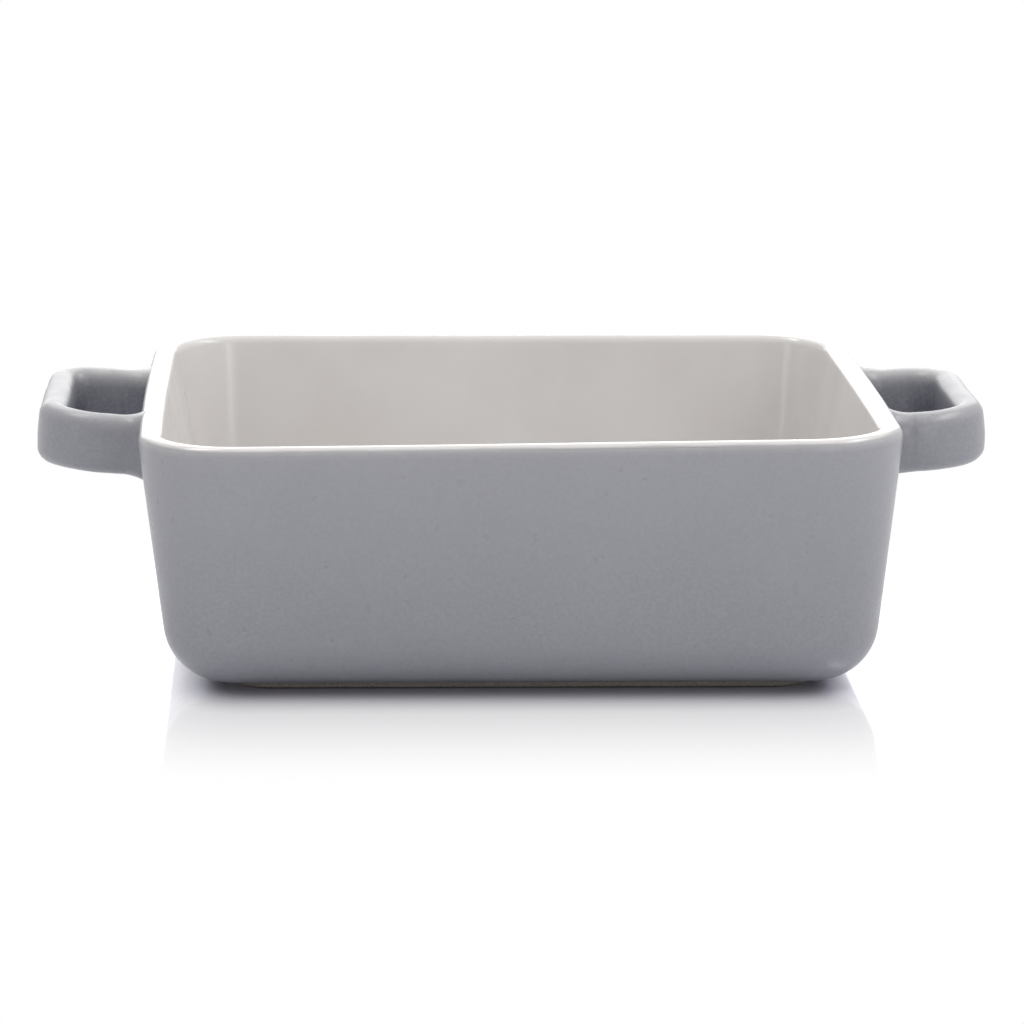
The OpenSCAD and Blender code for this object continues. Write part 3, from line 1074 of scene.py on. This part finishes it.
def sweep_values(dish, marks):
    """Inputs that every sweep of the tub shares."""
    return {
        "Straight X": dish.rim_length - 2 * dish.corner,
        "Straight Y": dish.rim_depth - 2 * dish.corner,
        "Radius": dish.corner,
        "Corner Steps": CORNER_STEPS,
        "Side Step": SIDE_STEP,
        "Wave": marks.wall_wave,
        "Wave Size": marks.wave_size,
        "Seed": marks.seed,
    }


def foot_runs(dish, section):
    """Straight runs of the foot ring between its corner axes."""
    offset = section.base_arc[0] - dish.foot_inset - dish.foot_corner
    return (
        dish.rim_length - 2 * dish.corner + 2 * offset,
        dish.rim_depth - 2 * dish.corner + 2 * offset,
    )


def middle_values(radius, upper, lower):
    """Inputs of a sweep whose flat middle is closed, between an upper and a lower level."""
    return {"Middle": True, "Middle Radius": radius, "Upper Level": upper, "Lower Level": lower}


def tub_piece(name, nodes, slot_name, points, closed, marks, values):
    """One swept piece of the tub, settled and put on the frame."""
    scene = bpy.context.scene
    section = section_mesh(name + "_line", points, closed, marks)
    piece = swept_piece(name, section, bpy.data.materials[FINISH_OF_SLOT[slot_name]], values)
    settle_mesh(piece.data, scene.dish_sizes, scene.dish_marks)
    finish_piece(piece, nodes)


class DISH_OT_clay_tub(bpy.types.Operator):
    """Build the clay of the tub under its glazes"""

    bl_idname = "dish.clay_tub"
    bl_label = "Build Clay Tub"

    def execute(self, context):
        scene = context.scene
        dish, hand = scene.dish_sizes, scene.dish_marks
        section, g = Section(dish), dish.glaze
        points = [
            *section.outside(g, MIDDLE_RADIUS),
            *section.over_rim(g)[1:],
            *section.inside(g, MIDDLE_RADIUS)[1:],
        ]
        middle = middle_values(MIDDLE_RADIUS, section.floor_z - g, section.base_z + g)
        values = {**sweep_values(dish, hand), **middle}
        tub_piece(
            "clay_tub", ["stoneware_body"], "fired_clay", points, False, chain_marks(points), values
        )
        return {"FINISHED"}


class DISH_OT_foot_ring(bpy.types.Operator):
    """Build the bare clay foot ring"""

    bl_idname = "dish.foot_ring"
    bl_label = "Build Foot Ring"

    def execute(self, context):
        scene = context.scene
        dish, hand = scene.dish_sizes, scene.dish_marks
        section = Section(dish)
        corner, edge, top = dish.foot_corner, dish.foot_edge, section.base_z + dish.glaze
        inner = corner - dish.foot_width
        points = [
            (inner, top),
            *arc((inner + edge, edge), edge, 180, 270, FOOT_EDGE_STEPS),
            *between((inner + edge, 0), (corner - edge, 0), FOOT_FACE_STEPS),
            *arc((corner - edge, edge), edge, 270, 360, FOOT_EDGE_STEPS),
            (corner, top),
        ]
        run_x, run_y = foot_runs(dish, section)
        values = {
            **sweep_values(dish, hand),
            "Straight X": run_x,
            "Straight Y": run_y,
            "Radius": corner,
            "Side Step": FOOT_SIDE_STEP,
            "Wave": hand.foot_wave,
            "Wave Size": hand.foot_wave_size,
        }
        tub_piece(
            "clay_foot_ring", ["foot_ring"], "bare_foot", points, True, chain_marks(points), values
        )
        return {"FINISHED"}


class DISH_OT_glaze_coats(bpy.types.Operator):
    """Build the white lining, the grey coat outside and the grey coat underneath"""

    bl_idname = "dish.glaze_coats"
    bl_label = "Build Glaze Coats"

    def execute(self, context):
        scene = context.scene
        dish, hand = scene.dish_sizes, scene.dish_marks
        section = Section(dish)
        values = sweep_values(dish, hand)
        self.white_lining(dish, section, values)
        self.grey_outside(dish, section, values)
        self.grey_underside(dish, section, values)
        return {"FINISHED"}

    def white_lining(self, dish, section, values):
        """White: over the rim, down the inside to the floor, and back under itself."""
        g, end = dish.glaze, section.wrap_angle(0)
        lap, fade = 12, 24  # degrees by which it laps over the grey, and across which it greys
        proud = 0.03 * MM  # how far it stands out from the grey that it laps
        face = [*section.over_rim(-proud, lap), *section.inside(0, MIDDLE_RADIUS)[1:]]
        back = [*section.over_rim(g, lap), *section.inside(g, MIDDLE_RADIUS)[1:]]
        points = [*reversed(face), *back]
        marks = chain_marks(points)
        start = end - lap
        for i in range(RIM_STEPS):
            turned = start + (90 - start) * i / RIM_STEPS
            share = min(1.0, max(0.0, 0.5 - (turned - end) / fade))
            marks["lip"][len(face) - 1 - i] = share
            marks["lip"][len(face) + i] = share
        middle = middle_values(MIDDLE_RADIUS, section.floor_z, section.floor_z - g)
        tub_piece(
            "white_lining", ["inner_glaze"], "white_glaze", points, False, marks,
            {**values, **middle},
        )

    def grey_outside(self, dish, section, values):
        """Grey: from under the foot ring up to the white lap, thinning as it gets there."""
        face, back = (section.outside(inset, UNDER_FOOT_RADIUS) for inset in (0, dish.glaze))
        points = [*face, *reversed(back)]
        marks = chain_marks(points)
        marks["foot"][0] = marks["foot"][-1] = 1.0
        rows = OUTER_RIM_STEPS + 1
        for i in range(rows):
            marks["thin"][len(face) - 1 - i] = THIN_SHARE * (1 - i / rows) ** THIN_POWER
        run_x, run_y = foot_runs(dish, section)
        foot = {
            "Foot X": run_x,
            "Foot Y": run_y,
            "Foot Radius": dish.foot_corner - dish.foot_width / 2,
        }
        tub_piece(
            "grey_outer_coat", ["outer_glaze"], "grey_glaze", points, True, marks,
            {**values, **foot},
        )

    def grey_underside(self, dish, section, values):
        """Grey underneath, inside the foot ring, with a small meniscus up its inner face."""
        g, base = dish.glaze, section.base_z
        corner = dish.foot_corner - dish.foot_width
        middle_radius = 0.6 * corner
        rise, under_ring, top_share = 0.5 * MM, 0.3 * MM, 0.9
        turns = [math.radians(20 * i) for i in range(1, 5)]
        meniscus = [
            (corner - 2 * rise * (1 - math.sin(a)), base - rise * (1 - math.cos(a))) for a in turns
        ]
        points = [
            (middle_radius, base),
            (corner - 2 * rise, base),
            *meniscus,
            (corner + under_ring, base - rise * top_share),
            (corner + under_ring, base + g),
            (middle_radius, base + g),
        ]
        run_x, run_y = foot_runs(dish, section)
        plan = {
            "Straight X": run_x,
            "Straight Y": run_y,
            "Radius": corner,
            "Side Step": UNDERSIDE_STEP,
        }
        tub_piece(
            "grey_underside_coat", ["underside_glaze"], "grey_glaze", points, False,
            chain_marks(points),
            {**values, **plan, **middle_values(middle_radius, base + g, base)},
        )


class DISH_OT_loop_handles(bpy.types.Operator):
    """Build the clay and the glaze of both loop handles, with their roots on the tub's glaze"""

    bl_idname = "dish.loop_handles"
    bl_label = "Build Loop Handles"

    def execute(self, context):
        scene = context.scene
        dish, hand, strap = scene.dish_sizes, scene.dish_marks, scene.dish_strap
        bm = bmesh.new()
        for name in ("grey_outer_coat", "white_lining"):
            bm.from_mesh(bpy.data.objects[name].data)
        wall = BVHTree.FromBMesh(bm)
        bm.free()
        for label, side in (("left", -1), ("right", 1)):
            plan = getattr(scene, f"dish_{label}_loop")
            face, clay = (
                strap_lumps(loop_rings(plan, strap, dish, wall, inset, side), hand)
                for inset in (0.0, dish.glaze)
            )
            glaze_mesh = tube_mesh(label + "_handle_coat", face, clay)
            clay_mesh = tube_mesh(label + "_handle_clay", clay, None)
            # The first share is thick glaze with painted shade in the finger gap and at the roots,
            # the second is thin glaze
            for share, shares in (("pool_and_shade", pool_and_shade_shares), ("thin", thin_shares)):
                # The coat's face and its back are alike
                values = np.tile(shares(len(face), strap), 2)
                glaze_mesh.attributes.new(share, "FLOAT", "POINT").data.foreach_set("value", values)
            for mesh, node, slot_name in (
                (glaze_mesh, label + "_handle_glaze", "grey_glaze"),
                (clay_mesh, label + "_handle", "fired_clay"),
            ):
                mesh.materials.append(bpy.data.materials[FINISH_OF_SLOT[slot_name]])
                finish_piece(link_object(mesh.name, mesh), [node])
        return {"FINISHED"}


class DISH_OT_studio(bpy.types.Operator):
    """Set the floor, the soft lamps, the white surroundings and the camera"""

    bl_idname = "dish.studio"
    bl_label = "Set Studio"

    def execute(self, context):
        scene = context.scene
        looks, levels, dish = scene.dish_finishes, scene.dish_stage, scene.dish_sizes
        self.set_floor(looks, dish)
        self.set_world(scene, levels)
        self.set_lamps(scene, levels)
        self.set_camera(scene)
        scene.view_settings.view_transform = "Standard"
        return {"FINISHED"}

    def seen(self, t):
        """1 for rays that see a surface directly, in a mirror or through glass."""
        rays = t.node("ShaderNodeLightPath").outputs
        seen = t.sum("MAXIMUM", rays["Is Camera Ray"], rays["Is Glossy Ray"])
        return t.sum("MAXIMUM", seen, rays["Is Transmission Ray"])

    def ease(self, t, value, low, high, to_high):
        """0 below the low value, rising softly to the last value at the high one."""
        return t.node(
            "ShaderNodeMapRange", {"interpolation_type": "SMOOTHSTEP", "clamp": True},
            Value=value, From_Min=low, From_Max=high, To_Min=0.0, To_Max=to_high,
        ).outputs[0]

    def past(self, t, flat, half_x, half_y, stretch):
        """Distance past the straight runs of a plan round the dish, stretched along X."""
        over = t.vector("SUBTRACT", flat, (half_x, half_y, 0.0))
        over = t.vector("MULTIPLY", t.vector("MAXIMUM", over, (0, 0, 0)), (stretch, 1.0, 1.0))
        return t.vector("LENGTH", over, out="Value")

    def set_floor(self, looks, dish):
        """Floor with a painted shadow under the dish and a soft mirror, running out into white."""
        mesh = bpy.data.meshes.new("studio_floor")
        signs = ((-1, -1), (1, -1), (1, 1), (-1, 1))
        corners = [(x * FLOOR_REACH, y * FLOOR_REACH, 0) for x, y in signs]
        mesh.from_pydata(corners, [], [(0, 1, 2, 3)])
        floor = link_object("studio_floor", mesh)
        finish, t, shader, place = new_finish("pale_floor")
        shader.inputs["Roughness"].default_value = 0.6
        shader.inputs["Specular IOR Level"].default_value = 0.0
        flat = t.vector("ABSOLUTE", t.vector("MULTIPLY", place, (1.0, 1.0, 0.0)))
        half_x, half_y = dish.rim_length / 2 - dish.corner, dish.rim_depth / 2 - dish.corner
        away = self.past(t, flat, half_x, half_y, 1.5)
        half_x, half_y = foot_high.x - dish.foot_corner, foot_high.y - dish.foot_corner
        from_foot = t.sum("SUBTRACT", self.past(t, flat, half_x, half_y, 1.35), dish.foot_corner)

        # Painted shadow: the floor's colour darkens towards the foot ring, most in the seam under
        # it, and the floor is white away from the dish
        seam_shadow, near, far = 0.2, 0.46, 0.34
        shade = t.sum("ADD", self.ease(t, from_foot, 0.0, 2.5 * MM, near), seam_shadow)
        shade = t.sum("ADD", shade, self.ease(t, from_foot, 3 * MM, 20 * MM, far))
        t.feed(shader, "Base_Color", mix_colour(t, shade, (0.0, 0.0, 0.0), looks.floor))
        white = t.node("ShaderNodeEmission", Color=(1, 1, 1, 1), Strength=1.0).outputs[0]
        open_floor = t.sum("MULTIPLY", self.seen(t), self.ease(t, away, 8 * MM, 35.5 * MM, 1.0))
        lit = t.node("ShaderNodeMixShader", _0=open_floor, _1=shader.outputs[0], _2=white)

        # A gloss over it mirrors the dish, and dies away towards the viewer and into the seam under
        # the foot ring, which deepens the painted shadow there
        gloss, seam_share = 0.38, 0.4
        mirror = t.node("ShaderNodeBsdfGlossy", Color=(0.87, 0.86, 1, 1), Roughness=0.05)
        shine = t.sum("SUBTRACT", gloss, self.ease(t, away, 6 * MM, 112 * MM, gloss))
        clear = self.ease(t, from_foot, 0.0, 2 * MM, 1.0 - seam_share)
        shine = t.sum("MULTIPLY", shine, t.sum("ADD", clear, seam_share))
        shown = t.node(
            "ShaderNodeMixShader",
            _0=t.sum("MULTIPLY", self.seen(t), shine),
            _1=lit.outputs[0],
            _2=mirror.outputs[0],
        )
        t.feed(finish.node_tree.nodes["Material Output"], "Surface", shown.outputs[0])
        mesh.materials.append(finish)

    def set_world(self, scene, levels):
        """Even light all round, and white or the dimmer room to the eye and in mirrors."""
        world = bpy.data.worlds.new("white_studio")
        world.use_nodes = True
        scene.world = world
        t = Tree(world.node_tree)
        ground = world.node_tree.nodes["Background"]
        # White all round to the eye. In a mirror the room is dimmer in front of the dish, but for
        # its right side
        right_side = 0.9
        round_about = t.node("ShaderNodeTexCoord").outputs["Generated"]
        way = t.node("ShaderNodeSeparateXYZ", Vector=round_about)
        beside, behind = way.outputs[0], way.outputs[1]
        room = t.sum(
            "MAXIMUM",
            self.ease(t, behind, -0.5, 0.1, 1.0 - levels.room),
            self.ease(t, beside, 0.18, 0.26, right_side - levels.room),
        )
        room = t.sum("ADD", room, levels.room)
        glossy = t.node("ShaderNodeLightPath").outputs["Is Glossy Ray"]
        strength = t.sum("MAXIMUM", room, t.sum("SUBTRACT", 1.0, glossy))
        white = t.node("ShaderNodeBackground", Color=(1, 1, 1, 1), Strength=strength)
        shown = t.node(
            "ShaderNodeMixShader", _0=self.seen(t), _1=ground.outputs[0], _2=white.outputs[0]
        )
        ground.inputs["Color"].default_value = (1, 1, 1, 1)
        # The even light weakens to both sides, a little more to the left
        sides, right_gain = -0.58, 0.05
        fall = t.sum("MULTIPLY_ADD", beside, t.sum("MULTIPLY_ADD", beside, sides, right_gain), 1.0)
        t.feed(ground, "Strength", t.sum("MULTIPLY", fall, levels.sky))
        t.feed(world.node_tree.nodes["World Output"], "Surface", shown.outputs[0])

    def set_lamps(self, scene, levels):
        """Soft lamps that all face the dish: name, place, width, height and power of each."""
        aim = Vector((0, 0, 0.03))
        lamps = (
            ("top_lamp", (0.0, 0.3, 1.25), 1.3, 0.5, levels.top),
            ("right_strip_lamp", (0.7, -1.44, 0.45), 0.36, 0.9, levels.right_strip),
            ("left_strip_lamp", (-1.27, -0.8, 0.45), 0.36, 0.9, levels.left_strip),
            ("back_lamp", (0.0, 1.5, 0.75), 1.4, 1.5, levels.back),
            ("right_lamp", (1.3, 0.1, 0.95), 0.9, 0.7, levels.right),
            ("right_glint_lamp", (0.66, 0.05, 1.0), 0.75, 0.24, levels.right_glint),
            ("left_glint_lamp", (-0.42, 0.42, 1.1), 0.5, 0.18, levels.left_glint),
        )
        for name, place, width, height, power in lamps:
            data = bpy.data.lights.new(name, "AREA")
            data.shape, data.size, data.size_y, data.energy = "RECTANGLE", width, height, power
            lamp = bpy.data.objects.new(name, data)
            lamp.location = place
            lamp.rotation_mode = "QUATERNION"
            lamp.rotation_quaternion = (Vector(place) - aim).to_track_quat("Z", "Y")
            scene.collection.objects.link(lamp)

    def set_camera(self, scene):
        """Camera at the photograph's height, distance and lens."""
        data = bpy.data.cameras.new("dish_camera")
        data.sensor_fit = "HORIZONTAL"
        data.sensor_width = CAMERA_SENSOR
        data.lens = CAMERA_LENS
        camera = bpy.data.objects.new("dish_camera", data)
        camera.location = CAMERA_PLACE
        camera.rotation_euler = (math.pi / 2 - CAMERA_TILT, -CAMERA_ROLL, -CAMERA_TURN)
        scene.collection.objects.link(camera)
        scene.camera = camera


class DISH_PT_panel(bpy.types.Panel):
    """Sizes, colours and steps of the baking dish"""

    bl_idname = "DISH_PT_panel"
    bl_label = "Baking Dish"
    bl_space_type = "VIEW_3D"
    bl_region_type = "UI"
    bl_category = "Baking Dish"

    def draw(self, context):
        for group in GROUPS:
            box = self.layout.box()
            settings = getattr(context.scene, group)
            for key in settings.bl_rna.properties.keys():
                if key not in ("rna_type", "name"):
                    box.prop(settings, key)
        for step in STEPS:
            self.layout.operator(step.bl_idname)


GROUPS = {
    "dish_sizes": DishSizes,
    "dish_strap": StrapSizes,
    "dish_left_loop": LoopPlan,
    "dish_right_loop": LoopPlan,
    "dish_marks": HandMarks,
    "dish_finishes": Finishes,
    "dish_stage": StageLevels,
}
STEPS = (
    DISH_OT_finishes,
    DISH_OT_clay_tub,
    DISH_OT_foot_ring,
    DISH_OT_glaze_coats,
    DISH_OT_loop_handles,
    DISH_OT_studio,
)
CLASSES = (*dict.fromkeys(GROUPS.values()), *STEPS, DISH_PT_panel)


def register():
    """Registers the classes and gives the scene its groups of settings."""
    for cls in CLASSES:
        bpy.utils.register_class(cls)
    for name, cls in GROUPS.items():
        setattr(bpy.types.Scene, name, bpy.props.PointerProperty(type=cls))


def unregister():
    """Takes them all back."""
    for name in GROUPS:
        delattr(bpy.types.Scene, name)
    for cls in reversed(CLASSES):
        bpy.utils.unregister_class(cls)


def main():
    """Builds the whole scene in order and keeps both boxes."""
    for thing in list(bpy.data.objects):
        if thing not in kept:
            bpy.data.objects.remove(thing)
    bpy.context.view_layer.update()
    register()
    scene = bpy.context.scene
    for plan, values in ((scene.dish_left_loop, LEFT_LOOP), (scene.dish_right_loop, RIGHT_LOOP)):
        for key, value in values.items():
            setattr(plan, key, value)
    sweep_group(path_group())
    for step in STEPS:
        module, name = step.bl_idname.split(".")
        getattr(getattr(bpy.ops, module), name)()


if __name__ == "__main__":
    main()
